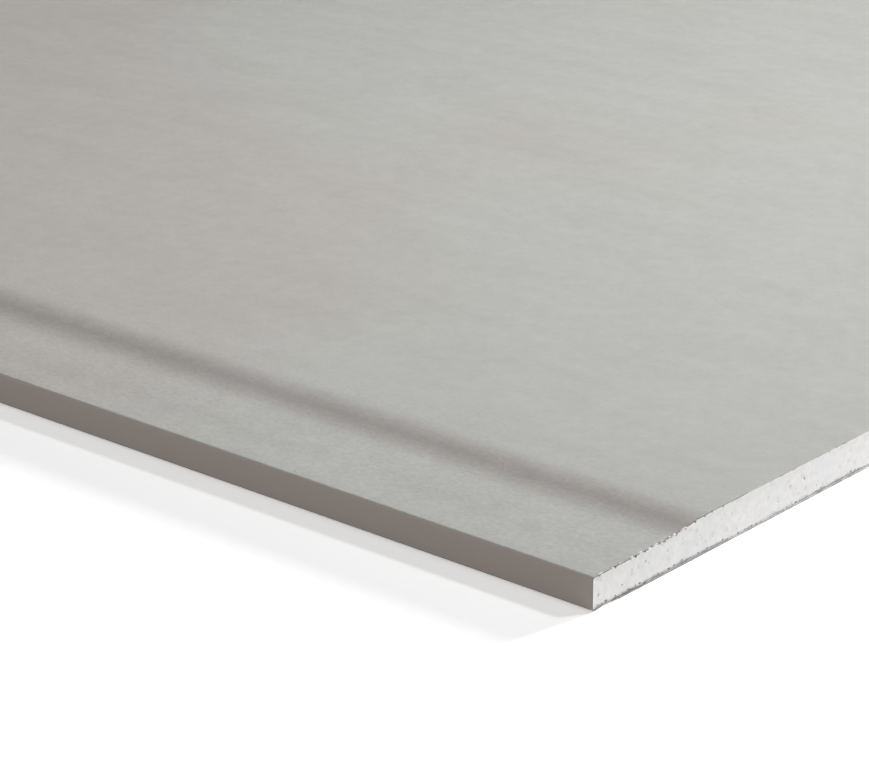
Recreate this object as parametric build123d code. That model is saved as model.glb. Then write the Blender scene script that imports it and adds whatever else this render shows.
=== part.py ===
# Half-inch drywall sheet, 4 ft by 8 ft, lying face up.
#
# A cast gypsum core is wrapped in face paper, which folds down over both long edges and laps under
# the core. Back paper is glued over the laps. On the face side a recess runs along each long edge,
# for the tape and filler of a joint. The two ends are cut square and show the bare core.
#
# Sizes are in millimetres. X runs along the sheet, Y across it and Z up. The origin is the middle
# of the back, which lies on the floor.
from build123d import *
import os
from math import atan2, degrees

# Stock size of the whole sheet, with its papers
sheet_length = 2438.4
sheet_width = 1219.2
sheet_thickness = 12.7

# Papers. The lap and the margin are measured in from the long edge.
face_paper_thickness = 0.33
back_paper_thickness = 0.33
face_paper_lap = 25.4
back_paper_margin = 12.7

# Recess along each long edge: a shelf beside the edge, then a ramp up to the face
recess_depth = 1.75
recess_shelf_width = 33.0
recess_ramp_width = 24.0

# Radius of the core's corners, round which the face paper folds
core_corner_radius = 0.7

# Heights and places of the core's surfaces
core_bottom = back_paper_thickness
core_lap_bottom = core_bottom + face_paper_thickness
core_top = sheet_thickness - face_paper_thickness
core_edge = sheet_width / 2 - face_paper_thickness
ramp_top = sheet_width / 2 - recess_shelf_width - recess_ramp_width
lap_end = sheet_width / 2 - face_paper_lap

# The corners can't be rounder than half the height of the core's edge
core_edge_height = core_top - recess_depth - core_lap_bottom
corner_radius = min(core_corner_radius, core_edge_height / 2)

# The ramp is two equal arcs, which meet halfway and end level with the shelf and the face
ramp_turn = 2 * atan2(recess_depth, recess_ramp_width)
ramp_radius = (recess_ramp_width**2 + recess_depth**2) / (4 * recess_depth)


def wrapped_side(outward):
    """Line round the +Y edge, from the top of the ramp to the end of the lap.

    It runs on the core where outward is 0, and else that far outside the core.
    """
    turn = degrees(ramp_turn)
    brow = JernArc((ramp_top, core_top + outward), (1, 0), ramp_radius + outward, -turn)
    foot = JernArc(brow @ 1, brow % 1, ramp_radius - outward, turn)
    shelf = Line(foot @ 1, (core_edge - corner_radius, (foot @ 1).Y))
    upper_fold = JernArc(shelf @ 1, (1, 0), corner_radius + outward, -90)
    edge = Line(upper_fold @ 1, ((upper_fold @ 1).X, core_lap_bottom + corner_radius))
    lower_fold = JernArc(edge @ 1, (0, -1), corner_radius + outward, -90)
    lap = Line(lower_fold @ 1, (lap_end, (lower_fold @ 1).Y))
    return [brow, foot, shelf, upper_fold, edge, lower_fold, lap]


def both_sides(lines):
    """The lines of the +Y half and their mirror images on the -Y half."""
    return lines + [line.mirror(Plane.YZ) for line in lines]


def across(point):
    """Level line from a point on the +Y half to its mirror image."""
    return Line(point, (-point.X, point.Y))


def extruded(lines, name):
    """Solid as long as the sheet, with a closed outline of Y and Z as its section."""
    section = Plane.YZ * make_face(lines)
    solid = extrude(section, sheet_length / 2, both=True)
    solid.label = name
    return solid


def gypsum_core():
    """Core, relieved under each long edge by the thickness of the lap."""
    side = wrapped_side(0)
    lap_step = Line(side[-1] @ 1, (lap_end, core_bottom))
    outline = both_sides(side + [lap_step]) + [across(side[0] @ 0), across(lap_step @ 1)]
    return extruded(outline, "gypsum_core")


def face_paper():
    """One paper over the face, round both long edges and under the core as far as the laps."""
    inner = wrapped_side(0)
    outer = wrapped_side(face_paper_thickness)
    cut_edge = Line(inner[-1] @ 1, outer[-1] @ 1)
    outline = both_sides(inner + outer + [cut_edge]) + [across(inner[0] @ 0), across(outer[0] @ 0)]
    return extruded(outline, "face_paper")


def back_paper():
    """Flat paper under the core and under both laps."""
    width = sheet_width - 2 * back_paper_margin
    paper = Box(sheet_length, width, back_paper_thickness, align=(Align.CENTER, Align.CENTER, Align.MIN))
    paper.label = "back_paper"
    return paper


os.makedirs("parts", exist_ok=True)
for piece in (gypsum_core(), face_paper(), back_paper()):
    export_step(piece, f"parts/{piece.label}.step")
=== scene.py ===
import math
import random

import bpy
from mathutils import Matrix, Vector, noise


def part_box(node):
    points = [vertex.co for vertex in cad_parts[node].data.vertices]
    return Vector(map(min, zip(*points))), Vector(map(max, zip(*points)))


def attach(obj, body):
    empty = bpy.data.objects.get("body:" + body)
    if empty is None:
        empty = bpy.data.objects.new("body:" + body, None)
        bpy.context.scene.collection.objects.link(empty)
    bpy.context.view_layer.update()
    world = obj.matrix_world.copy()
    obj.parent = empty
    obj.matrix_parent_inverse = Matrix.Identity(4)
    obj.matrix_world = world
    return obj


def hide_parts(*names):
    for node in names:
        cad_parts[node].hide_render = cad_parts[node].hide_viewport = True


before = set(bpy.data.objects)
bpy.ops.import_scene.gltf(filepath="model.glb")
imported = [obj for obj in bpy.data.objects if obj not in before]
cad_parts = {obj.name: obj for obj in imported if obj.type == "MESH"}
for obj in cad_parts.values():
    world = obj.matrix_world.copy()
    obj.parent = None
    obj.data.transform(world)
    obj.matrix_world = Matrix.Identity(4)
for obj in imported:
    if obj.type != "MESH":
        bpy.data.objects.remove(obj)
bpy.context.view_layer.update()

# Lengths are in metres. X runs along the sheet, Y across it and Z up.
core_low, core_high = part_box("gypsum_core")
back_low, back_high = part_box("back_paper")
face_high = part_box("face_paper")[1]

half_length = face_high.x
half_width = face_high.y
face_height = face_high.z
paper_thickness = face_high.y - core_high.y
back_paper_thickness = back_high.z - back_low.z

# Recess along each long edge: a shelf beside the edge, then a ramp up to the face. The depth is
# the one at the foot of the ramp. The shelf's outer strip lies lower, and the solid has the middle
# of the two depths.
recess_depth = 0.00168
shelf_width = 0.033
ramp_width = 0.024
ramp_turn = 2 * math.atan2(recess_depth, ramp_width)
ramp_radius = (ramp_width**2 + recess_depth**2) / (4 * recess_depth)
ramp_top = half_width - shelf_width - ramp_width

# A second, faint step on the shelf, where the forming bars pressed the outer strip lower,
# and the way in which the shelf falls off close to the long edge
faint_step_depth = 0.00016
faint_step_outer = 0.011
faint_step_inner = 0.023
fall_off_depth = 0.00009
fall_off_width = 0.005

# Corners of the core, and the lap of the face paper under it
corner_radius = 0.0007
lap_width = 0.0254
lap_end = half_width - lap_width
core_bottom = core_low.z
core_lap_bottom = core_bottom + paper_thickness

# Rows of a paper across the sheet, by their distance from an end. They crowd where its cut edge
# is rough.
end_rows = (0, 0.0028, 0.0045, 0.01, 0.03, 0.1, 0.35)

# Places nearer to each other than the first of these are taken as one. The others are how near
# vertices are before they are merged, where two halves meet and all over a piece.
same_place = 0.000001
mirror_merge = 0.00001
double_merge = 0.000002

# Edges that turn by more than this stay sharp
crease_angle = math.radians(40)

# The eye on the corner: where the corner of the face shows in a picture of this many pixels
picture_size = (869, 769)
corner_pixel = (592.8, 572.0)
focal_pixels = 3303
corner_distance = 0.925
eye_azimuth = math.radians(40.52)
eye_elevation = math.radians(21.27)
sensor_width = 36


# Modelling steps

def clear_selection():
    for thing in bpy.context.selected_objects:
        thing.select_set(False)


def select_for_work(piece, *others):
    """Selects only these pieces, and works on the first."""
    clear_selection()
    for thing in (piece, *others):
        thing.select_set(True)
    bpy.context.view_layer.objects.active = piece


def start_piece(name):
    """Names the primitive that was just added and gives it its own place in its mesh."""
    piece = bpy.context.object
    piece.name = name
    piece.data.name = name
    bpy.ops.object.transform_apply(location=True, rotation=True, scale=True)
    return piece


def select_edges(piece, wanted):
    """In edit mode, selects only the edges for which wanted says yes."""
    bpy.ops.mesh.select_mode(type="EDGE")
    bpy.ops.mesh.select_all(action="DESELECT")
    bpy.ops.object.mode_set(mode="OBJECT")
    for edge in piece.data.edges:
        edge.select = wanted(edge)
    bpy.ops.object.mode_set(mode="EDIT")


def extrude(move):
    bpy.ops.mesh.extrude_region_move(TRANSFORM_OT_translate={"value": move})


def extrude_evenly(move, steps):
    for _ in range(steps):
        extrude(tuple(length / steps for length in move))


def sweep_round(centre, angle, steps):
    """Extrudes the selected edge round an axis that runs along the sheet."""
    bpy.ops.mesh.spin(steps=steps, angle=angle, center=centre, axis=(1, 0, 0))


def apply_modifier(piece, kind, **settings):
    modifier = piece.modifiers.new(kind.title(), kind)
    for name, value in settings.items():
        setattr(modifier, name, value)
    bpy.ops.object.modifier_apply(modifier=modifier.name)


def face_outwards(piece):
    """Merges doubled vertices and turns all faces of a closed piece outwards."""
    bpy.ops.object.mode_set(mode="EDIT")
    bpy.ops.mesh.select_mode(type="VERT")
    bpy.ops.mesh.select_all(action="SELECT")
    bpy.ops.mesh.remove_doubles(threshold=double_merge)
    bpy.ops.mesh.normals_make_consistent(inside=False)
    bpy.ops.object.mode_set(mode="OBJECT")


def smooth_step(value):
    value = min(max(value, 0.0), 1.0)
    return value * value * (3 - 2 * value)


def ripple(place, scale, size):
    """Smooth random rise and fall over a piece, of about this size either way."""
    return size * noise.noise(place * scale)


def shelf_drop(from_edge):
    """How far the shelf lies below its own level, at a distance from the long edge."""
    run = (faint_step_inner - from_edge) / (faint_step_inner - faint_step_outer)
    falling = max(0, 1 - from_edge / fall_off_width)
    return faint_step_depth * smooth_step(run) + fall_off_depth * falling**2


# Papers

def paper_grid(name, low, high, columns, height):
    """Level sheet from the low to the high corner in X and Y, facing up, with its end_rows."""
    places = [-half_length + row for row in end_rows]
    places += [half_length - row for row in reversed(end_rows)]
    rows = len(places) - 1
    clear_selection()
    bpy.ops.mesh.primitive_grid_add(
        x_subdivisions=rows, y_subdivisions=columns, size=1,
        location=((low[0] + high[0]) / 2, (low[1] + high[1]) / 2, height),
    )
    bpy.context.object.scale = (high[0] - low[0], high[1] - low[1], 1)
    paper = start_piece(name)
    spacing = 2 * half_length / rows
    for vertex in paper.data.vertices:
        vertex.co.x = places[round((vertex.co.x + half_length) / spacing)]
    return paper


def wrap_paper():
    """Half of the face paper's outer side: over the face, down the recess, round the edge, under."""
    flat_columns = 420
    shelf_step = 0.00025
    edge_step = 0.00075
    lap_step = 0.0015
    arc_steps = 30
    fold_steps = 7

    low, high = (-half_length, 0), (half_length, ramp_top)
    paper = paper_grid("face_paper_wrap", low, high, flat_columns, face_height)
    vertices = paper.data.vertices
    brow = ramp_top - same_place
    bpy.ops.object.mode_set(mode="EDIT")
    select_edges(paper, lambda edge: all(vertices[i].co.y > brow for i in edge.vertices))

    # The ramp is two arcs that meet halfway down
    brow_centre = Vector((0, ramp_top, face_height - ramp_radius))
    to_middle = Vector((0, math.sin(ramp_turn), math.cos(ramp_turn)))
    foot_centre = brow_centre + 2 * ramp_radius * to_middle
    sweep_round(brow_centre, ramp_turn, arc_steps)
    sweep_round(foot_centre, -ramp_turn, arc_steps)

    # The shelf, with its faint step
    fold_radius = corner_radius + paper_thickness
    shelf_length = shelf_width - fold_radius
    steps = round(shelf_length / shelf_step)
    for step in range(steps):
        before = shelf_width - shelf_length * step / steps
        after = shelf_width - shelf_length * (step + 1) / steps
        extrude((0, before - after, shelf_drop(before) - shelf_drop(after)))

    # Round the upper corner, down the edge, round the lower corner and in under the core
    quarter_turn = math.pi / 2
    shelf_height = face_height - recess_depth - shelf_drop(fold_radius)
    upper_centre = (0, half_width - fold_radius, shelf_height - fold_radius)
    lower_centre = (0, half_width - fold_radius, core_bottom + fold_radius)
    edge_length = upper_centre[2] - lower_centre[2]
    lap_length = lap_width - fold_radius
    sweep_round(upper_centre, quarter_turn, fold_steps)
    extrude_evenly((0, 0, -edge_length), round(edge_length / edge_step))
    sweep_round(lower_centre, quarter_turn, fold_steps)
    extrude_evenly((0, -lap_length, 0), round(lap_length / lap_step))
    bpy.ops.object.mode_set(mode="OBJECT")
    return paper


def straight_setback(along):
    """How far a cleanly cut edge of paper stays back from the end, at a place along it."""
    least = 0.00002
    usual = 0.00004
    nick_scale = 420
    nick_shift = Vector((7, 0, 0))
    nick_rarity = 0.42
    nick_depth = 0.0008
    nick = max(0, noise.noise(along * nick_scale + nick_shift) - nick_rarity) * nick_depth
    return max(least, usual + ripple(along, scale=900, size=0.00004) + nick)


def face_paper_setback(along):
    """The same for the face paper, a little ragged where the cutter had the recess under it."""
    first, first_fade = 0.0015, 0.003
    last, last_fade = 0.046, 0.014
    coarse_depth, coarse_scale, coarse_share = 0.0008, 330, 0.1
    from_edge = half_width - abs(along.x)
    ragged = smooth_step((from_edge - first) / first_fade)
    ragged *= 1 - smooth_step((from_edge - last) / last_fade)
    coarse = coarse_depth * max(0, noise.noise(along * coarse_scale) + coarse_share)
    fine = max(0, ripple(along, scale=1250, size=0.0006))
    return straight_setback(along) + ragged * (coarse + fine)


def fray_ends(piece, setback):
    """Pulls the end rows of a paper back to its cut edge, and presses the face's down a little.

    The end shift lets the two ends differ, here and below.
    """
    pressed = 0.00004
    end_shift = 0.03
    below_shelf = 0.001
    lowest_pressed = face_height - recess_depth - below_shelf
    for vertex in piece.data.vertices:
        from_end = half_length - abs(vertex.co.x)
        if from_end < end_rows[1] / 2:
            end = math.copysign(1, vertex.co.x)
            along = Vector((vertex.co.y, end_shift * end, vertex.co.z))
            vertex.co.x -= end * setback(along)
            if vertex.co.z > lowest_pressed:
                vertex.co.z -= pressed


def thicken(paper, thickness, drawn_side, added_side, cut_edges):
    """Gives a paper its thickness below the side that is drawn.

    The two sides and the cut edges get their finishes, of which the edges share one with a side.
    """
    finishes = (drawn_side, added_side)
    for finish in finishes:
        paper.data.materials.append(finish)
    apply_modifier(
        paper, "SOLIDIFY", thickness=thickness, offset=-1, use_even_offset=True,
        material_offset=1, material_offset_rim=finishes.index(cut_edges),
    )
    bpy.ops.object.shade_smooth_by_angle(angle=crease_angle)


def make_face_paper():
    paper = wrap_paper()
    apply_modifier(paper, "MIRROR", use_axis=(False, True, False), merge_threshold=mirror_merge)
    fray_ends(paper, face_paper_setback)
    thicken(paper, paper_thickness, face_paper_grey, face_paper_edge_painted_shade, face_paper_edge_painted_shade)
    return paper


def make_back_paper():
    """Flat paper, cut straight along the sheet and a little rough at the ends."""
    columns = 800
    low, high = (-half_length, back_low.y), (half_length, back_high.y)
    paper = paper_grid("back_paper_sheet", low, high, columns, back_high.z)
    fray_ends(paper, straight_setback)
    thicken(paper, back_paper_thickness, cut_back_paper, back_paper_brown, cut_back_paper)
    return paper


# Core

def corner_rounding(y):
    """How much the core's rounded corner takes off a square one, at a place across the sheet."""
    past_corner = max(0, corner_radius - (core_high.y - y))
    return corner_radius - math.sqrt(max(0, corner_radius**2 - past_corner**2))


def core_roof(y):
    """Height of the core's upper side at a place across the sheet."""
    top = face_height - paper_thickness
    if y <= ramp_top:
        return top
    brow_radius = ramp_radius - paper_thickness
    foot_radius = ramp_radius + paper_thickness
    down_ramp = y - ramp_top
    if down_ramp < brow_radius * math.sin(ramp_turn):
        return top - brow_radius + math.sqrt(brow_radius**2 - down_ramp**2)
    to_foot = ramp_width - down_ramp
    shelf = top - recess_depth
    if to_foot > 0:
        return shelf + foot_radius - math.sqrt(foot_radius**2 - to_foot**2)
    drop = shelf_drop(max(half_width - y, paper_thickness + corner_radius))
    return shelf - drop - corner_rounding(y)


def core_floor(y):
    """Height of the core's underside at a place across the sheet."""
    if y <= lap_end:
        return core_bottom
    return core_lap_bottom + corner_rounding(y)


def core_columns():
    """Places across half of the sheet where the end of the core is divided."""
    flat_step = 0.0012
    shelf_step = 0.0006
    corner_steps = 5
    lap_gap = 0.00005
    flat_count = round(ramp_top / flat_step)
    columns = [ramp_top * i / flat_count for i in range(flat_count)]
    corner_start = core_high.y - corner_radius
    shelf_count = round((corner_start - ramp_top) / shelf_step)
    columns += [ramp_top + (corner_start - ramp_top) * i / shelf_count for i in range(shelf_count)]
    turns = [math.pi / 2 * i / corner_steps for i in range(corner_steps + 1)]
    columns += [corner_start + corner_radius * math.sin(turn) for turn in turns]
    columns = [y for y in columns if abs(y - lap_end) > 2 * lap_gap]
    return sorted(columns + [lap_end, lap_end + lap_gap])


def border_edges(mesh):
    """Edges that only one face uses, as pairs of vertex numbers."""
    uses = {}
    for face in mesh.polygons:
        for key in face.edge_keys:
            uses[key] = uses.get(key, 0) + 1
    return [key for key, count in uses.items() if count == 1]


def make_core_body():
    """The plain core: one gridded end, drawn out along the sheet and mirrored both ways."""
    levels = (0, 0.02, 0.04, 0.06, 0.085, 0.12, 0.2, 0.35, 0.5, 0.65, 0.8, 0.92, 0.975, 1)
    columns = core_columns()
    clear_selection()
    bpy.ops.mesh.primitive_grid_add(
        x_subdivisions=len(levels) - 1, y_subdivisions=len(columns) - 1, size=1,
        location=(half_length, 0, 0), rotation=(0, math.pi / 2, 0),
    )
    core = start_piece("gypsum_core_cast")
    for vertex in core.data.vertices:
        y = columns[round((vertex.co.y + 0.5) * (len(columns) - 1))]
        share = levels[round((vertex.co.z + 0.5) * (len(levels) - 1))]
        vertex.co.z = core_floor(y) + share * (core_roof(y) - core_floor(y))
        vertex.co.y = y
    bpy.ops.object.mode_set(mode="EDIT")
    outline = {
        tuple(sorted(edge)) for edge in border_edges(core.data)
        if any(core.data.vertices[i].co.y >= same_place for i in edge)
    }
    select_edges(core, lambda edge: tuple(sorted(edge.vertices)) in outline)
    extrude((-half_length, 0, 0))
    bpy.ops.object.mode_set(mode="OBJECT")
    apply_modifier(core, "MIRROR", use_axis=(True, True, False), merge_threshold=mirror_merge)
    return core


def crumbling(y, end):
    """How badly the lower arris crumbles at a place along an end, from 0 to 1."""
    end_shift = 3
    broad_scale, broad_layer = 21, 26.5
    knotty_scale, knotty_layer = 130, 8.1
    usual = 0.35
    broad = noise.noise(Vector((y * broad_scale, end * end_shift, broad_layer)))
    knotty = noise.noise(Vector((y * knotty_scale, end * end_shift, knotty_layer)))
    return smooth_step(usual + 0.8 * broad + 0.6 * knotty)


def unevenness(place):
    """Depth of the shallow hollows that the cutter leaves in the end of the core."""
    broad_depth, broad_scale = 0.00003, 160
    fine_depth, fine_scale = 0.00002, 700
    broad = noise.noise(place * broad_scale)
    fine = noise.noise(place * fine_scale)
    return broad_depth * (1 + broad) + fine_depth * (1 + fine)


def undercut(place):
    """How far the lowest strip of the end lies back, where the core snapped off its back paper."""
    least_reach, crumbled_reach = 0.0005, 0.0008
    least_depth, crumbled_depth = 0.0001, 0.0007
    thick = crumbling(place.y, math.copysign(1, place.x))
    reach = least_reach + crumbled_reach * thick + ripple(place, scale=240, size=0.0003)
    depth = least_depth + crumbled_depth * thick
    depth = depth + ripple(place, scale=420, size=0.0002) + ripple(place, scale=1500, size=0.00012)
    above_floor = place.z - core_floor(abs(place.y))
    return max(0, depth) * smooth_step(1 - above_floor / reach)


def roughen_ends(core):
    """Pushes the inside of each end face back a little, and its lowest strip further."""
    margin = 0.0004
    end_shift = 0.05
    for vertex in core.data.vertices:
        place = vertex.co
        y = abs(place.y)
        if abs(place.x) < half_length - margin or y > core_high.y - margin:
            continue
        end = math.copysign(1, place.x)
        on_end = Vector((end_shift * end, place.y, place.z))
        back = undercut(on_end)
        if core_floor(y) + margin < place.z < core_roof(y) - margin:
            back += unevenness(on_end)
        place.x -= end * back


# Air bubbles that the cut opens near the corner in view: distance from the long edge, height,
# radius, and how many times wider than high they are
opened_bubbles = (
    (0.0968, 0.0073, 0.00082, 1.3),
    (0.0246, 0.0074, 0.00056, 1.9),
    (0.0137, 0.0039, 0.00060, 1.6),
    (0.1042, 0.0076, 0.00062, 1.2),
    (0.0325, 0.0097, 0.00044, 1.1),
    (0.1165, 0.0022, 0.00052, 1.3),
    (0.0264, 0.0093, 0.00042, 1.4),
    (0.0139, 0.0067, 0.00050, 1.3),
    (0.0027, 0.0046, 0.00052, 1.2),
    (0.0713, 0.0091, 0.00046, 1.6),
    (0.0950, 0.0022, 0.00036, 1.2),
    (0.0300, 0.0089, 0.00030, 1.1),
    (0.0465, 0.0100, 0.00036, 1.3),
    (0.0586, 0.0059, 0.00044, 1.5),
    (0.0208, 0.0092, 0.00028, 1.2),
    (0.1111, 0.0031, 0.00038, 1.2),
    (0.0300, 0.0062, 0.00034, 1.2),
    (0.0510, 0.0068, 0.00036, 1.3),
    (0.0818, 0.0024, 0.00034, 1.4),
    (0.0615, 0.0083, 0.00038, 1.5),
    (0.0021, 0.0075, 0.00030, 1.1),
    (0.0164, 0.0069, 0.00034, 1.2),
    (0.0105, 0.0060, 0.00034, 1.2),
    (0.1011, 0.0037, 0.00034, 1.4),
    (0.0697, 0.0066, 0.00036, 1.4),
)


def bubble_places(draw, end):
    """Places, radii and widths of the opened bubbles in one end, none touching another."""
    count = 330
    margin = 0.0006
    spacing = 0.0002
    cell = 0.004
    least_radius = 0.00016
    usual_growth = 0.00016
    rare_growth, rarity = 0.0004, 6
    widest = 1.8
    placed = []
    near = {}

    def keep(bubble):
        placed.append(bubble)
        near.setdefault(int(bubble[0] // cell), []).append(bubble)

    def is_free(y, z, radius):
        key = int(y // cell)
        others = [other for k in (key - 1, key, key + 1) for other in near.get(k, ())]
        return all(math.hypot(y - o[0], z - o[1]) > radius + o[2] * o[3] + spacing for o in others)

    if end > 0:
        for from_edge, height, radius, width in opened_bubbles:
            keep((from_edge - half_width, height, radius, width))
    while len(placed) < count:
        y = draw.uniform(-1, 1) * (core_high.y - margin)
        radius = least_radius + usual_growth * draw.random() + rare_growth * draw.random() ** rarity
        width = draw.uniform(1, widest)
        low = core_floor(abs(y)) + margin + radius
        high = core_roof(abs(y)) - margin - radius
        if low >= high:
            continue
        z = draw.uniform(low, high)
        if is_free(y, z, radius * width):
            keep((y, z, radius, width))
    return placed


def bubble_placings(draw):
    """The bubbles as flat hollows: each is a ball, drawn out sideways, that the cut just opens."""
    dent = 0.12
    shallow, deepest = 0.1, 0.24
    outside = 0.1
    placings = []
    for end in (-1, 1):
        for y, z, radius, width in bubble_places(draw, end):
            deep = radius * draw.uniform(shallow, deepest)
            place = Vector((end * (half_length + outside * deep), y, z))
            placings.append((place, (deep, radius * width, radius), dent))
    return placings


def lower_chips(draw, end):
    """Crumbs that broke out of the lower arris of one end, more and larger where it crumbles."""
    margin = 0.002
    dent = 0.25
    crumbled_growth = 0.00015
    rare_growth, rarity = 0.0003, 3
    lowest = 0.0004
    least_scatter, crumbled_scatter = 0.0002, 0.0009
    flatness = 0.9
    spacing = 3.6
    placings = []
    y = -core_high.y + margin
    while y < core_high.y - margin:
        thick = crumbling(y, end)
        radius = draw.uniform(0.00025, 0.0004) + crumbled_growth * thick
        radius = radius + rare_growth * draw.random() ** rarity
        scatter = draw.uniform(0, least_scatter + crumbled_scatter * thick)
        place = Vector((end * half_length, y, core_floor(abs(y)) + lowest + scatter))
        size = (radius * flatness, radius * draw.uniform(0.9, 1.3), radius * flatness)
        placings.append((place, size, dent))
        y += radius * spacing + draw.uniform(0.0001, 0.003) * (1.15 - thick)
    return placings


def upper_chips(draw, end):
    """Crumbs that broke out of the upper arris of one end, mostly beside the recess."""
    margin = 0.003
    dent = 0.25
    depth, flatness = 1.3, 0.9
    below_roof = 0.2
    spacing = 4
    placings = []
    y = -core_high.y + margin
    while y < core_high.y - margin:
        if abs(y) > ramp_top:
            radii, gaps = (0.0003, 0.0005), (0.001, 0.006)
        else:
            radii, gaps = (0.0002, 0.0004), (0.008, 0.04)
        radius = draw.uniform(*radii)
        size = (radius * depth, radius * draw.uniform(0.8, 1.6), radius * flatness)
        place = Vector((end * half_length, y, core_roof(abs(y)) - below_roof * radius))
        placings.append((place, size, dent))
        y += radius * spacing + draw.uniform(*gaps)
    return placings


def chip_placings(draw):
    placings = []
    for end in (-1, 1):
        placings += lower_chips(draw, end) + upper_chips(draw, end)
    return placings


def raised_crumb_placings(draw):
    """Crumbs of plaster that the cutter raised over the paper's cut edge beside the recess."""
    dent = 0.2
    above_core = 0.00015
    nearest_edge = 0.004
    placings = []
    for end in (-1, 1):
        for side in (-1, 1):
            from_edge = nearest_edge
            while from_edge < shelf_width + ramp_width / 2:
                length = draw.uniform(0.00025, 0.0004)
                half_wide = draw.uniform(0.0005, 0.0017)
                half_high = draw.uniform(0.0003, 0.0005)
                y = half_width - from_edge
                x = half_length - (1 + dent) * length
                place = Vector((end * x, side * y, core_roof(y) + above_core))
                placings.append((place, (length, half_wide, half_high), dent))
                from_edge += 2 * half_wide + draw.uniform(0.0003, 0.004)
    return placings


def round_shape(name, segments, rings):
    """Closed round shape of radius 1 with few faces and its poles on the X axis, to be copied."""
    clear_selection()
    bpy.ops.mesh.primitive_uv_sphere_add(
        segments=segments, ring_count=rings, radius=1, location=(0, 0, 0), rotation=(0, math.pi / 2, 0)
    )
    return start_piece(name)


def scattered_copies(shape, placings, draw, name, finish):
    """One mesh of many copies of a shape.

    Each placing has a copy's place, its size in X, Y and Z, and how deep its dents may be.
    """
    points = [vertex.co.copy() for vertex in shape.data.vertices]
    faces = [tuple(face.vertices) for face in shape.data.polygons]
    vertices, copied = [], []
    for place, size, dent in placings:
        first = len(vertices)
        for point in points:
            reach = 1 + dent * draw.uniform(-1, 1)
            vertices.append(place + Vector([p * s * reach for p, s in zip(point, size)]))
        copied += [tuple(first + i for i in face) for face in faces]
    mesh = bpy.data.meshes.new(name)
    mesh.from_pydata(vertices, [], copied)
    mesh.materials.append(finish)
    copies = bpy.data.objects.new(name, mesh)
    bpy.context.scene.collection.objects.link(copies)
    bpy.data.objects.remove(shape)
    return copies


def carve(core, cutter):
    """Takes the cutter's shapes out of the core, and the cutter away."""
    select_for_work(core)
    apply_modifier(
        core, "BOOLEAN", operation="DIFFERENCE", solver="MANIFOLD", object=cutter,
        material_mode="TRANSFER",
    )
    bpy.data.objects.remove(cutter)


def make_core():
    """The cast core, with the bubbles and broken crumbs that its two cut ends show."""
    scatter_seed = 11
    core = make_core_body()
    core.data.materials.append(gypsum)
    face_outwards(core)
    roughen_ends(core)
    draw = random.Random(scatter_seed)
    bubble = round_shape("bubble", segments=9, rings=5)
    # The bubbles carry the darker plaster, painted shade in them
    bubbles = scattered_copies(bubble, bubble_placings(draw), draw, "bubbles", gypsum_painted_pit_shade)
    crumb = round_shape("crumb", segments=7, rings=5)
    # The crumbs' hollows carry the much darker plaster, painted shade
    chips = scattered_copies(crumb, chip_placings(draw), draw, "crumbs", gypsum_painted_chip_shade)
    carve(core, bubbles)
    carve(core, chips)
    speck = round_shape("speck", segments=8, rings=6)
    raised = scattered_copies(
        speck, raised_crumb_placings(draw), draw, "raised_crumbs", gypsum_crumbs_painted_shade
    )
    select_for_work(core, raised)
    bpy.ops.object.join()
    bpy.ops.object.shade_smooth_by_angle(angle=crease_angle)
    return core


# Nodes. The Mix node has sockets of every kind under the same names, so they go by number.
mix_share, mix_first, mix_second, mixed_colour = 0, 6, 7, 2


def rgb(red, green, blue):
    opaque = 1
    return (red, green, blue, opaque)


def grey(level):
    return rgb(level, level, level)


def new_group(name, inputs, outputs):
    """Empty node group with named inputs (name, kind, value) and outputs (name, kind)."""
    group = bpy.data.node_groups.new(name, "ShaderNodeTree")
    for socket, kind, value in inputs:
        made = group.interface.new_socket(socket, in_out="INPUT", socket_type=f"NodeSocket{kind}")
        if value is not None:
            made.default_value = value
    for socket, kind in outputs:
        group.interface.new_socket(socket, in_out="OUTPUT", socket_type=f"NodeSocket{kind}")
    return group, group.nodes.new("NodeGroupInput").outputs, group.nodes.new("NodeGroupOutput").inputs


def feed(tree, socket, value):
    """Gives an input its value, or links it to the output that feeds it."""
    if isinstance(value, bpy.types.NodeSocket):
        tree.links.new(value, socket)
    else:
        socket.default_value = value


def node(tree, kind, inputs=None, **settings):
    """Adds a node. Each input is a value, or the output socket that feeds it."""
    made = tree.nodes.new(f"ShaderNode{kind}")
    for name, value in settings.items():
        setattr(made, name, value)
    for name, value in (inputs or {}).items():
        feed(tree, made.inputs[name], value)
    return made


def use_group(tree, group, inputs):
    return node(tree, "Group", inputs, node_tree=group).outputs


def math_node(tree, operation, first, second=0.0):
    return node(tree, "Math", {0: first, 1: second}, operation=operation).outputs[0]


def plus(tree, first, second):
    return math_node(tree, "ADD", first, second)


def minus(tree, first, second):
    return math_node(tree, "SUBTRACT", first, second)


def times(tree, first, second):
    return math_node(tree, "MULTIPLY", first, second)


def spread(tree, value, from_low, from_high, to_low=0.0, to_high=1.0, **settings):
    """Maps a value from one range to another, held at its ends."""
    inputs = {
        "Value": value, "From Min": from_low, "From Max": from_high,
        "To Min": to_low, "To Max": to_high,
    }
    return node(tree, "MapRange", inputs, **settings).outputs["Result"]


def at_most(tree, share, highest):
    """A share of a surface, brought down evenly so that it never passes the highest."""
    return spread(tree, share, 0, 1, to_high=highest)


def tinted(tree, share, first, second, blend="MIX"):
    """Colour between two colours, by a share that changes over the surface."""
    mix = node(tree, "Mix", data_type="RGBA", blend_type=blend)
    for number, value in ((mix_share, share), (mix_first, first), (mix_second, second)):
        feed(tree, mix.inputs[number], value)
    return mix.outputs[mixed_colour]


def dimmed(tree, share, colour, by):
    """The colour where the share is 0, and the colour times another one where it is 1."""
    return tinted(tree, share, colour, by, blend="MULTIPLY")


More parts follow.
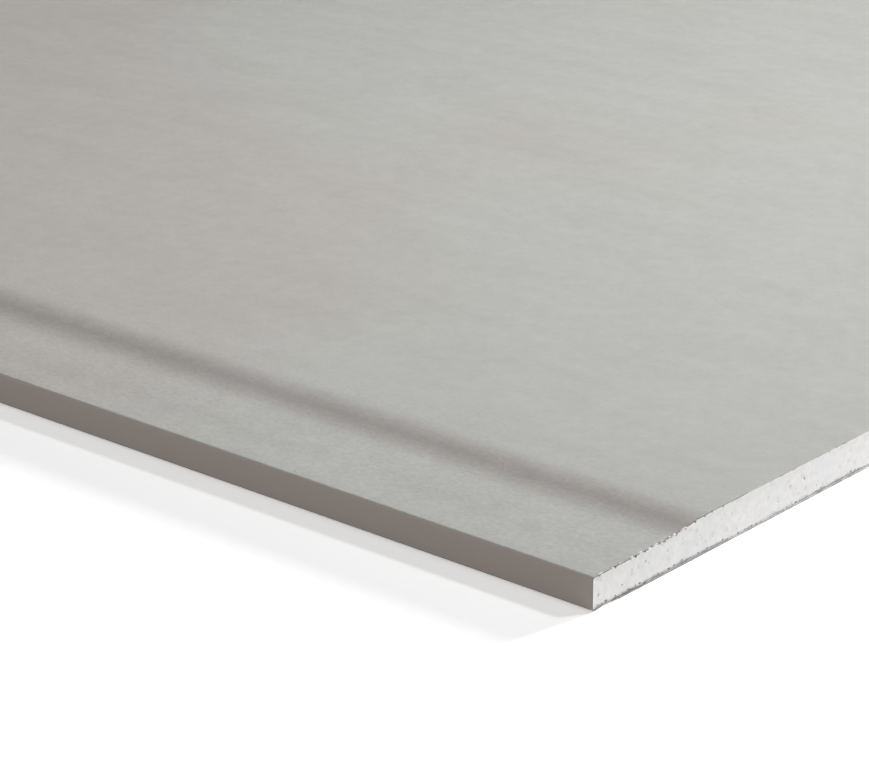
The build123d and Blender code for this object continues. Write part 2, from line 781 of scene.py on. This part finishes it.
def noise_at(tree, place, scale, detail=2.0, roughness=0.5):
    inputs = {"Vector": place, "Scale": scale, "Detail": detail, "Roughness": roughness}
    return node(tree, "TexNoise", inputs).outputs["Fac"]


def axes_of(tree, place):
    """The place's X, Y and Z."""
    return node(tree, "SeparateXYZ", {"Vector": place}).outputs


def across_sheet(tree, place):
    """Distance from the sheet's long middle line."""
    return math_node(tree, "ABSOLUTE", axes_of(tree, place)["Y"])


def fibre_grain_group():
    """Felted fibres that lie mostly along the sheet, and the clouds in which they settle."""
    group, given, made = new_group(
        "fibre_grain",
        (
            ("Place", "Vector", None), ("Fibre Width", "Float", 0.0006),
            ("Cloud Size", "Float", 0.009),
        ),
        (("Fibres", "Float"), ("Clouds", "Float")),
    )
    fibre_scale = math_node(group, "DIVIDE", 1.0, given["Fibre Width"])
    layers = []
    for turn, stretch in ((4, 0.16), (34, 0.24), (-41, 0.24)):
        turned = node(group, "Mapping", {
            "Vector": given["Place"], "Rotation": (0, 0, math.radians(turn)), "Scale": (stretch, 1, 1),
        })
        layers.append(noise_at(group, turned.outputs[0], fibre_scale, detail=1.0))
    total = plus(group, plus(group, layers[0], layers[1]), layers[2])
    cloud_scale = math_node(group, "DIVIDE", 1.0, given["Cloud Size"])
    clouds = noise_at(group, given["Place"], cloud_scale, detail=3.0)
    feed(group, made["Fibres"], spread(group, total, 1.05, 1.95))
    feed(group, made["Clouds"], spread(group, clouds, 0.3, 0.7))
    return group


def flecks_group():
    """Mask of small separate specks, such as bark and ink in recycled pulp or pores in plaster."""
    group, given, made = new_group(
        "flecks",
        (
            ("Place", "Vector", None), ("Spacing", "Float", 0.002), ("Size", "Float", 0.2),
            ("Share", "Float", 0.3), ("Stretch", "Vector", (1, 1, 1)),
        ),
        (("Flecks", "Float"),),
    )
    least_size = 0.4
    solid_middle = 0.55
    scale = math_node(group, "DIVIDE", 1.0, given["Spacing"])
    bent = node(group, "VectorMath", {0: given["Place"], 1: given["Stretch"]}, operation="MULTIPLY")
    cells = node(group, "TexVoronoi", {"Vector": bent.outputs[0], "Scale": scale, "Randomness": 1.0})
    chance = node(group, "SeparateColor", {"Color": cells.outputs["Color"]}).outputs
    chosen = math_node(group, "LESS_THAN", chance[0], given["Share"])
    reach = times(group, given["Size"], plus(group, chance[1], least_size))
    speck = spread(group, cells.outputs["Distance"], reach, times(group, reach, solid_middle))
    feed(group, made["Flecks"], times(group, speck, chosen))
    return group


def cut_dust_group():
    """Mask of the fine white dust that clings to the paper beside the two cut ends."""
    group, given, made = new_group(
        "cut_dust",
        (("Place", "Vector", None), ("Half Length", "Float", 1.0), ("Reach", "Float", 0.01)),
        (("Dust", "Float"),),
    )
    from_middle = math_node(group, "ABSOLUTE", axes_of(group, given["Place"])["X"])
    from_end = minus(group, given["Half Length"], from_middle)
    near_end = spread(group, from_end, given["Reach"], 0.0)
    grains = noise_at(group, given["Place"], scale=1500, detail=4.0, roughness=0.7)
    drifts = noise_at(group, given["Place"], scale=130)
    clinging = spread(group, plus(group, grains, drifts), 1.02, 1.3)
    feed(group, made["Dust"], times(group, clinging, math_node(group, "POWER", near_end, 2.0)))
    return group


def new_finish(name, gloss=0.25):
    """Material with a plain surface shader, and the place on the piece that its patterns read."""
    material = bpy.data.materials.new(name)
    material.use_nodes = True
    tree = material.node_tree
    surface = tree.nodes["Principled BSDF"]
    surface.inputs["Specular IOR Level"].default_value = gloss
    place = node(tree, "TexCoord").outputs["Object"]
    return material, tree, surface, place


def finish_surface(tree, surface, colour, roughness, height, height_scale):
    feed(tree, surface.inputs["Base Color"], colour)
    feed(tree, surface.inputs["Roughness"], roughness)
    bump = node(tree, "Bump", {"Height": height, "Strength": 1.0, "Distance": height_scale})
    feed(tree, surface.inputs["Normal"], bump.outputs["Normal"])


# Finishes

def pinker_patches(tree, place):
    """Wide patches where the face paper's pulp is a little pinker."""
    patch_shift = (2.1, -5.5, 0)
    shifted = node(tree, "VectorMath", {0: place, 1: patch_shift}, operation="ADD").outputs[0]
    return spread(tree, noise_at(tree, shifted, scale=2.4, detail=4.0), 0.44, 0.54)


def felted_pulp(tree, place, grain, patches):
    """Colour of the plain face paper: felt, faint streaks from the paper machine, and specks."""
    felt = tinted(tree, grain["Fibres"], rgb(0.515, 0.519, 0.492), rgb(0.56, 0.564, 0.536))
    paper = dimmed(tree, grain["Clouds"], felt, grey(0.95))
    drawn_out = node(tree, "Mapping", {"Vector": place, "Scale": (0.35, 1, 1)}).outputs[0]
    streaks = noise_at(tree, drawn_out, scale=60, detail=4.0, roughness=0.6)
    paper = dimmed(tree, spread(tree, streaks, 0.3, 0.7), paper, rgb(0.942, 0.942, 0.938))
    paper = dimmed(tree, patches, paper, rgb(1, 0.952, 0.957))
    specks = use_group(tree, flecks, {
        "Place": place, "Spacing": 0.006, "Size": 0.07, "Share": 0.35, "Stretch": (0.6, 1, 1),
    })
    return tinted(tree, times(tree, specks["Flecks"], 0.35), paper, rgb(0.36, 0.33, 0.29))


def painted_ramp_shade(tree, paper, across, patches):
    """Painted shade on the ramp: a little darker and warmer, most at the ramp's middle."""
    ramp_middle = ramp_top + ramp_width / 2
    from_middle = math_node(tree, "ABSOLUTE", minus(tree, across, ramp_middle))
    # pressed is the share of painted shade, fullest at the ramp's middle
    pressed = spread(tree, from_middle, ramp_width / 2, 0.0, interpolation_type="SMOOTHSTEP")
    ramp_shade_tint = tinted(tree, patches, rgb(0.882, 0.817, 0.828), rgb(0.862, 0.842, 0.846))
    return dimmed(tree, pressed, paper, ramp_shade_tint)


def warm_shade_on_edges(tree, paper, across, clouds):
    """The long edges are darker and warmer; the warmth is painted warm shade."""
    first_edge_toned, fully_edge_toned = half_width - 0.0011, half_width - 0.0002
    on_edge = spread(tree, across, first_edge_toned, fully_edge_toned)
    # Painted warm shade: the darker, warmer tones of the long edges
    warm, pale_warm = rgb(0.5, 0.438, 0.398), rgb(0.522, 0.47, 0.433)
    return tinted(tree, on_edge, paper, tinted(tree, at_most(tree, clouds, 0.3), warm, pale_warm))


def dusted_at_ends(tree, place, paper, reach, highest, dust_colour):
    """A paper's colour with the dust of the cut over it beside the ends."""
    dust = use_group(tree, cut_dust, {"Place": place, "Half Length": half_length, "Reach": reach})
    return tinted(tree, at_most(tree, dust["Dust"], highest), paper, dust_colour)


def face_paper_finish():
    """Light grey paper: fine felted grain, faint pink patches, painted shade on the ramp and long
    edges.
    """
    material, tree, surface, place = new_finish("grey_face_paper", gloss=0.02)
    grain = use_group(tree, fibre_grain, {"Place": place, "Fibre Width": 0.0006, "Cloud Size": 0.007})
    fine = use_group(tree, fibre_grain, {"Place": place, "Fibre Width": 0.00032, "Cloud Size": 0.05})
    across = across_sheet(tree, place)
    patches = pinker_patches(tree, place)
    paper = felted_pulp(tree, place, grain, patches)
    paper = painted_ramp_shade(tree, paper, across, patches)

    # In the recess and beside it the paper is crinkled a little, which shows as a mottled grain
    first_crinkled, fully_crinkled = ramp_top - 0.03, ramp_top + ramp_width / 2
    beside_recess = spread(tree, across, first_crinkled, fully_crinkled)
    crinkled = noise_at(tree, place, scale=700, roughness=0.6)
    crinkles = times(tree, crinkled, beside_recess)
    mottle = tinted(tree, spread(tree, crinkled, 0.62, 0.38), grey(1.04), grey(0.955))
    paper = dimmed(tree, beside_recess, paper, mottle)

    paper = warm_shade_on_edges(tree, paper, across, fine["Clouds"])
    paper = dusted_at_ends(
        tree, place, paper, reach=0.008, highest=0.22, dust_colour=rgb(0.76, 0.755, 0.74)
    )
    fine_height, crinkle_height = 0.5, 10.0
    height = plus(tree, grain["Fibres"], times(tree, fine["Fibres"], fine_height))
    height = plus(tree, height, times(tree, crinkles, crinkle_height))
    roughness = spread(tree, grain["Clouds"], 0, 1, to_low=0.82, to_high=0.9)
    finish_surface(tree, surface, paper, roughness, height, height_scale=0.0000022)
    return material


def back_paper_finish():
    """Grey-brown recycled paper with coarse fibres, ink specks and pale straws."""
    material, tree, surface, place = new_finish("brown_back_paper")
    grain = use_group(tree, fibre_grain, {"Place": place, "Fibre Width": 0.0009, "Cloud Size": 0.012})
    paper = tinted(tree, grain["Fibres"], rgb(0.29, 0.258, 0.22), rgb(0.37, 0.335, 0.292))
    paper = tinted(tree, at_most(tree, grain["Clouds"], 0.5), paper, rgb(0.315, 0.29, 0.26))
    ink = use_group(tree, flecks, {
        "Place": place, "Spacing": 0.0035, "Size": 0.12, "Share": 0.5, "Stretch": (0.5, 1, 1),
    })
    straw = use_group(tree, flecks, {
        "Place": place, "Spacing": 0.005, "Size": 0.1, "Share": 0.5, "Stretch": (0.2, 1, 1),
    })
    paper = tinted(tree, times(tree, ink["Flecks"], 0.5), paper, rgb(0.14, 0.13, 0.12))
    paper = tinted(tree, times(tree, straw["Flecks"], 0.4), paper, rgb(0.5, 0.46, 0.39))
    paper = dusted_at_ends(
        tree, place, paper, reach=0.02, highest=0.5, dust_colour=rgb(0.7, 0.69, 0.67)
    )
    finish_surface(
        tree, surface, paper, roughness=0.9, height=grain["Fibres"], height_scale=0.000012
    )
    return material


def cut_paper_finish(name, dark, pale, smeared):
    """Cut edge of a paper: plies with loose fibres, smeared with plaster between the recesses."""
    material, tree, surface, place = new_finish(name)
    grain = use_group(tree, fibre_grain, {"Place": place, "Fibre Width": 0.0002, "Cloud Size": 0.004})
    plies = tinted(tree, grain["Fibres"], dark, pale)
    across = across_sheet(tree, place)
    last_smeared, fully_smeared = ramp_top + 0.002, ramp_top - 0.012
    between = spread(tree, across, last_smeared, fully_smeared, to_high=smeared)
    plaster = spread(tree, noise_at(tree, place, scale=200), 0.42, 0.54)
    edge = tinted(tree, times(tree, between, plaster), plies, rgb(0.58, 0.578, 0.56))
    finish_surface(
        tree, surface, edge, roughness=0.95, height=grain["Fibres"], height_scale=0.00003
    )
    return material


def painted_shade_at_bottom(tree, place):
    """Share of painted shade over the core's lowest millimetre, with a ragged upper rim."""
    least_reach, ragged_reach = 0.0009, 0.001
    above_floor = minus(tree, axes_of(tree, place)["Z"], core_bottom)
    ragged = noise_at(tree, place, scale=260, detail=3.0)
    ragged = spread(tree, ragged, 0.35, 0.7, to_high=ragged_reach)
    return spread(tree, minus(tree, above_floor, ragged), least_reach, 0.0, to_high=0.6)


def gypsum_finish(name, light, shade, pore_depth):
    """Bare set plaster: faint cream and cool clouds, grey mottling, very fine pores with painted
    shade, and painted shade low down.
    """
    material, tree, surface, place = new_finish(name, gloss=0.2)
    pores = use_group(tree, flecks, {"Place": place, "Spacing": 0.0024, "Size": 0.33, "Share": 0.6})
    tiny = use_group(tree, flecks, {"Place": place, "Spacing": 0.0004, "Size": 0.3, "Share": 0.6})
    clouds = spread(tree, noise_at(tree, place, scale=110, detail=3.0), 0.36, 0.64)
    body = tinted(tree, clouds, light, shade)
    cool = spread(tree, noise_at(tree, place, scale=60), 0.42, 0.6, to_high=0.55)
    body = tinted(tree, cool, body, rgb(0.8, 0.81, 0.83))
    mottling = noise_at(tree, place, scale=420, detail=3.0, roughness=0.6)
    mottling = spread(tree, mottling, 0.38, 0.66, to_high=0.24)
    body = tinted(tree, mottling, body, rgb(0.56, 0.555, 0.545))
    # The pores are painted greyer: painted shade in them
    body = tinted(tree, times(tree, pores["Flecks"], 0.3), body, rgb(0.5, 0.49, 0.47))
    # Painted shade along the lowest strip of the plaster
    body = tinted(tree, painted_shade_at_bottom(tree, place), body, rgb(0.46, 0.467, 0.47))
    powder_height, pit_depth = 0.5, 0.4
    powder = noise_at(tree, place, scale=2600, detail=3.0, roughness=0.6)
    pits = times(tree, plus(tree, pores["Flecks"], tiny["Flecks"]), pit_depth)
    height = minus(tree, times(tree, powder, powder_height), pits)
    finish_surface(tree, surface, body, roughness=0.93, height=height, height_scale=pore_depth)
    return material


fibre_grain = fibre_grain_group()
flecks = flecks_group()
cut_dust = cut_dust_group()
face_paper_grey = face_paper_finish()
back_paper_brown = back_paper_finish()
# The face paper's cut edge and inner side are painted dark: painted shade of the gap where the paper's
# edge meets the core
face_paper_edge_painted_shade = cut_paper_finish(
    "face_paper_edge_with_painted_shade", dark=rgb(0.13, 0.129, 0.123), pale=rgb(0.29, 0.287, 0.273), smeared=0.9
)
cut_back_paper = cut_paper_finish(
    "cut_back_paper_edge", dark=rgb(0.26, 0.26, 0.258), pale=rgb(0.46, 0.46, 0.456), smeared=0.8
)
gypsum = gypsum_finish(
    "cut_gypsum", light=rgb(0.84, 0.84, 0.83), shade=rgb(0.8, 0.8, 0.795), pore_depth=0.00003
)
# A darker copy of the plaster for the opened bubbles: painted shade in the hollows
gypsum_painted_pit_shade = gypsum_finish(
    "pit_gypsum_painted_shade", light=rgb(0.56, 0.555, 0.54), shade=rgb(0.48, 0.475, 0.46), pore_depth=0.00005
)
# A much darker copy of the plaster for the broken-out crumbs: painted shade in their hollows
gypsum_painted_chip_shade = gypsum_finish(
    "chip_gypsum_painted_shade", light=rgb(0.4, 0.402, 0.4), shade=rgb(0.32, 0.322, 0.32), pore_depth=0.00005
)
# A darker copy of the plaster for the raised crumbs: painted shade that keeps their lit sides from
# glaring
gypsum_crumbs_painted_shade = gypsum_finish(
    "raised_crumb_gypsum_painted_shade", light=rgb(0.7, 0.695, 0.68), shade=rgb(0.62, 0.615, 0.6), pore_depth=0.00003
)


# The sheet

core = make_core()
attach(core, "root")
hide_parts("gypsum_core")

face_paper = make_face_paper()
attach(face_paper, "root")
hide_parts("face_paper")

back_paper = make_back_paper()
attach(back_paper, "root")
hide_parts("back_paper")


# Floor, light and eye

def looked_at(tree):
    """1 where the eye, a gloss or something clear sees a thing, and 0 where light only lands on it."""
    path = node(tree, "LightPath").outputs
    mirrored = math_node(tree, "MAXIMUM", path["Is Glossy Ray"], path["Is Transmission Ray"])
    return math_node(tree, "MAXIMUM", path["Is Camera Ray"], mirrored)


def make_floor():
    """Pale floor that shows white to the eye, keeps the shadow, and is clear from below."""
    floor_size = 600
    gap_under_sheet = 0.0001
    clear_selection()
    bpy.ops.mesh.primitive_plane_add(size=floor_size, location=(0, 0, -gap_under_sheet))
    floor = start_piece("floor")
    material = bpy.data.materials.new("pale_floor")
    material.use_nodes = True
    tree = material.node_tree
    tree.nodes.remove(tree.nodes["Principled BSDF"])
    lit = node(tree, "BsdfDiffuse", {"Color": grey(0.9)})
    lift = node(tree, "Emission", {"Color": grey(1), "Strength": 0.46})
    seen = node(tree, "AddShader", {0: lit.outputs[0], 1: lift.outputs[0]})
    bounced = node(tree, "BsdfDiffuse", {"Color": rgb(0.42, 0.4, 0.385)})
    above = node(tree, "MixShader", {0: looked_at(tree), 1: bounced.outputs[0], 2: seen.outputs[0]})
    through = node(tree, "BsdfTransparent")
    below = node(tree, "NewGeometry").outputs["Backfacing"]
    whole = node(tree, "MixShader", {0: below, 1: above.outputs[0], 2: through.outputs[0]})
    feed(tree, tree.nodes["Material Output"].inputs["Surface"], whole.outputs[0])
    floor.data.materials.append(material)


def make_world(ambient_level):
    """Even light from all round, and white where the eye or a gloss looks past the floor."""
    world = bpy.data.worlds.new("studio")
    bpy.context.scene.world = world
    world.use_nodes = True
    tree = world.node_tree
    around = tree.nodes["Background"]
    around.inputs["Color"].default_value = grey(1)
    around.inputs["Strength"].default_value = ambient_level
    white = node(tree, "Background", {"Color": grey(1), "Strength": 1.0})
    shown = node(tree, "MixShader", {0: looked_at(tree), 1: around.outputs[0], 2: white.outputs[0]})
    feed(tree, tree.nodes["World Output"].inputs["Surface"], shown.outputs[0])


def place_lamp(name, lamp, azimuth, elevation, distance, aim=(0, 0, 0)):
    """Stands a lamp where its light comes from. Azimuth turns from +Y towards +X."""
    placed = bpy.data.objects.new(name, lamp)
    bpy.context.scene.collection.objects.link(placed)
    a, e = math.radians(azimuth), math.radians(elevation)
    towards = Vector((math.sin(a) * math.cos(e), math.cos(a) * math.cos(e), math.sin(e)))
    placed.rotation_mode = "QUATERNION"
    placed.rotation_quaternion = towards.to_track_quat("Z", "Y")
    placed.location = Vector(aim) + towards * distance


def add_sun(name, azimuth, elevation, strength, softness):
    """Lamp whose light is the same everywhere."""
    sun_distance = 5
    lamp = bpy.data.lights.new(name, "SUN")
    lamp.energy = strength
    lamp.angle = math.radians(softness)
    place_lamp(name, lamp, azimuth, elevation, sun_distance)


def add_pool(name, aim, azimuth, elevation, distance, power, cone, softness):
    """Ceiling lamp whose light fades evenly from the middle of its pool to the rim."""
    lamp = bpy.data.lights.new(name, "SPOT")
    lamp.energy = power
    lamp.spot_size = math.radians(cone)
    lamp.spot_blend = 1
    lamp.shadow_soft_size = softness
    place_lamp(name, lamp, azimuth, elevation, distance, aim)


def make_camera():
    """Eye at the picture's angle, with the corner of the face at its place in the picture."""
    right = Vector((math.cos(eye_azimuth), math.sin(eye_azimuth), 0))
    back = Vector((
        math.sin(eye_azimuth) * math.cos(eye_elevation),
        -math.cos(eye_azimuth) * math.cos(eye_elevation),
        math.sin(eye_elevation),
    ))
    up = back.cross(right)
    corner = Vector((half_length, -half_width, face_height))
    to_right = (corner_pixel[0] - picture_size[0] / 2) / focal_pixels * corner_distance
    to_top = (picture_size[1] / 2 - corner_pixel[1]) / focal_pixels * corner_distance
    data = bpy.data.cameras.new("eye")
    data.sensor_width = sensor_width
    data.lens = focal_pixels / picture_size[0] * sensor_width
    data.clip_start = 0.01
    data.clip_end = 1000
    eye = bpy.data.objects.new("eye", data)
    bpy.context.scene.collection.objects.link(eye)
    turned = Matrix((right, up, back)).transposed().to_4x4()
    turned.translation = corner - to_right * right - to_top * up + corner_distance * back
    eye.matrix_world = turned
    bpy.context.scene.camera = eye


make_floor()
make_world(ambient_level=0.1)
add_sun("back_window", azimuth=8, elevation=15, strength=4.6, softness=14)
add_sun("side_window", azimuth=95, elevation=12, strength=0.75, softness=30)
add_sun("front_fill", azimuth=150, elevation=10, strength=0.865, softness=30)
add_sun("left_fill", azimuth=265, elevation=8, strength=1.2, softness=40)
pool_middle = (half_length + 0.235, -half_width + 0.74, face_height)
add_pool(
    "ceiling_lamp", pool_middle, azimuth=40, elevation=55, distance=2.6, power=260, cone=35,
    softness=0.2,
)
make_camera()

view_settings = bpy.context.scene.view_settings
view_settings.view_transform = "Standard"
